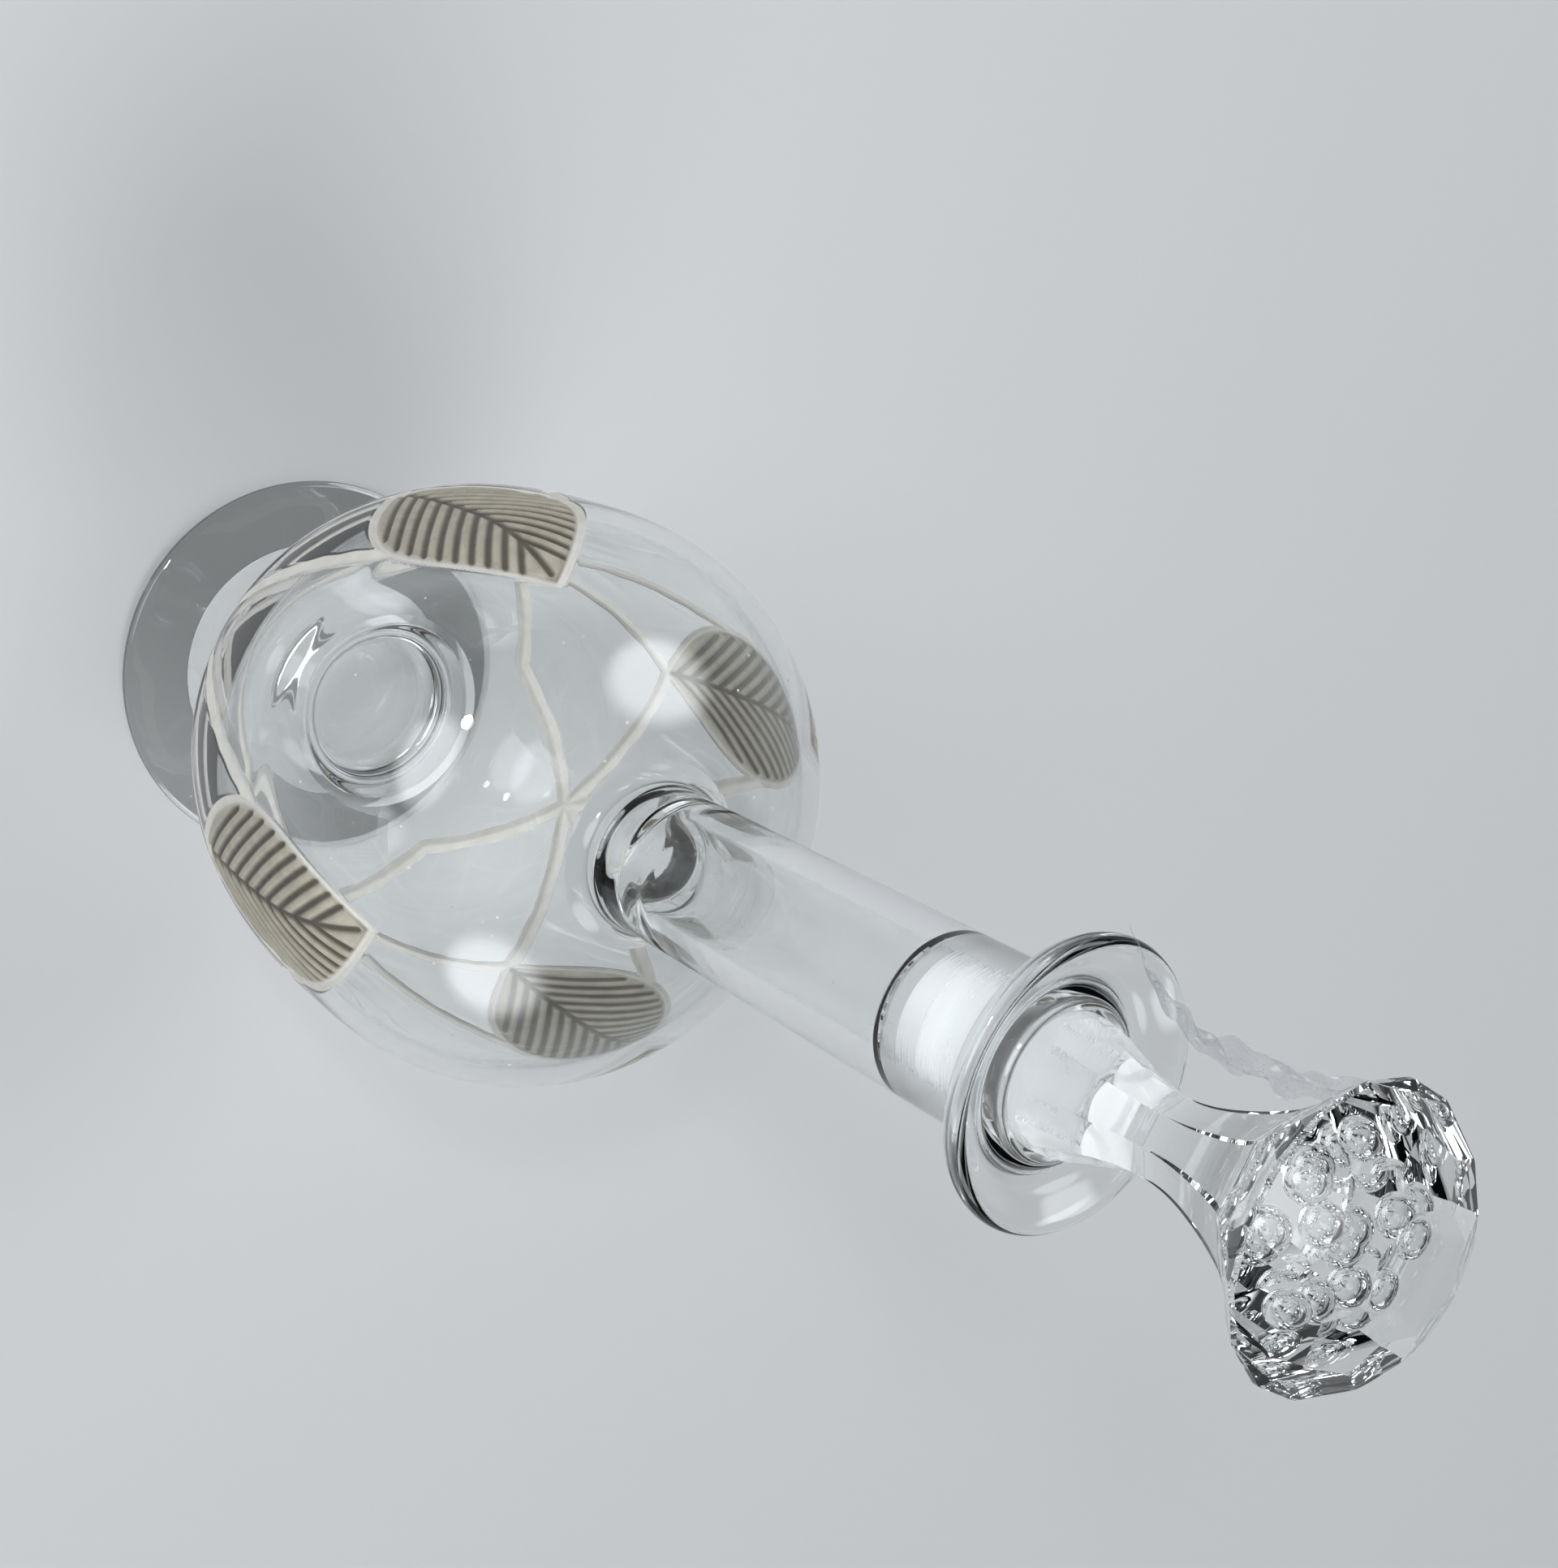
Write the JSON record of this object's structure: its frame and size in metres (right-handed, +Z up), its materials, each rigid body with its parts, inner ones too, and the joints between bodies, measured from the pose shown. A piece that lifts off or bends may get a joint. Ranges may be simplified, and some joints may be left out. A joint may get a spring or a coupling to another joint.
{
  "type": "cut crystal decanter",
  "caption": "Footed globe decanter in clear cut crystal with a straight neck, flared lip and a lift-out ground stopper with a faceted head.",
  "frame": {"origin": "middle of the foot's resting face", "axes": "+Z up along the decanter's axis towards the stopper; the cut leaves stand at 45 degrees to X and Y"},
  "size_m": [0.12, 0.12, 0.3367],
  "materials": {
    "clear_crystal": "clear polished crystal",
    "cut_crystal": "clear polished crystal with matte wheel-cut leaves and grooves",
    "ground_crystal": "fine ground frosted crystal",
    "stopper_crystal": "clear polished crystal facets",
    "clear_tape": "clear crinkled adhesive film"
  },
  "bodies": {
    "vessel": {"foot": "clear_crystal", "stem": "clear_crystal", "bowl": "cut_crystal", "neck": "clear_crystal", "lip_ring": "clear_crystal"},
    "stopper": {"stopper_peg": "ground_crystal", "stopper_shank": "stopper_crystal", "stopper_head": "stopper_crystal", "tape_strip": "clear_tape"}
  },
  "joints": [
    {"name": "stopper_lift", "type": "slide", "parent": "vessel", "child": "stopper", "axis": [0, 0, 1], "range_m": [0, 0.07]}
  ]
}
